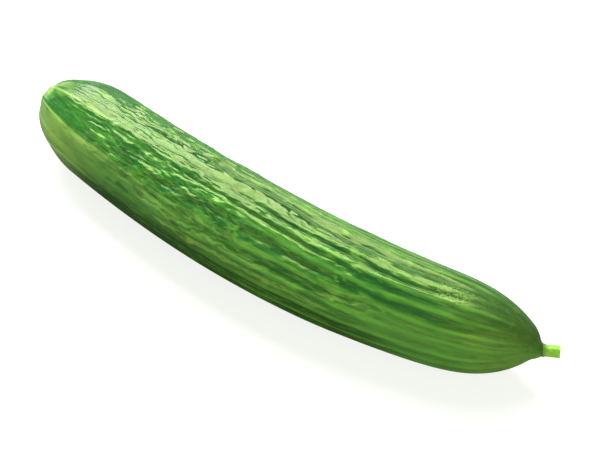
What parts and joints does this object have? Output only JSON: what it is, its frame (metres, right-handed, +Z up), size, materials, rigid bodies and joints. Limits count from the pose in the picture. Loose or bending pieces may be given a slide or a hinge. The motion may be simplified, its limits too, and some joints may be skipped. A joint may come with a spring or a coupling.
{
  "type": "cucumber",
  "caption": "Whole long seedless cucumber lying on its side, gently bowed, with lengthwise ribs, puckered waxy skin, a dimpled blossom scar and a short stub of cut stem.",
  "frame": {"origin": "on the surface that it lies on, under the middle of the whole cucumber with its stem", "axes": "+X from the blossom end to the stem end, +Z up, and the fruit's middle bows towards -Y"},
  "size_m": [0.3054, 0.0642, 0.051],
  "materials": {
    "skin": "waxy deep green skin with paler ribs and a soft gloss",
    "stem": "fresh yellow-green stalk, satin, with a paler cut face"
  },
  "bodies": {
    "root": {"fruit": "skin", "stem": "stem"}
  },
  "joints": []
}
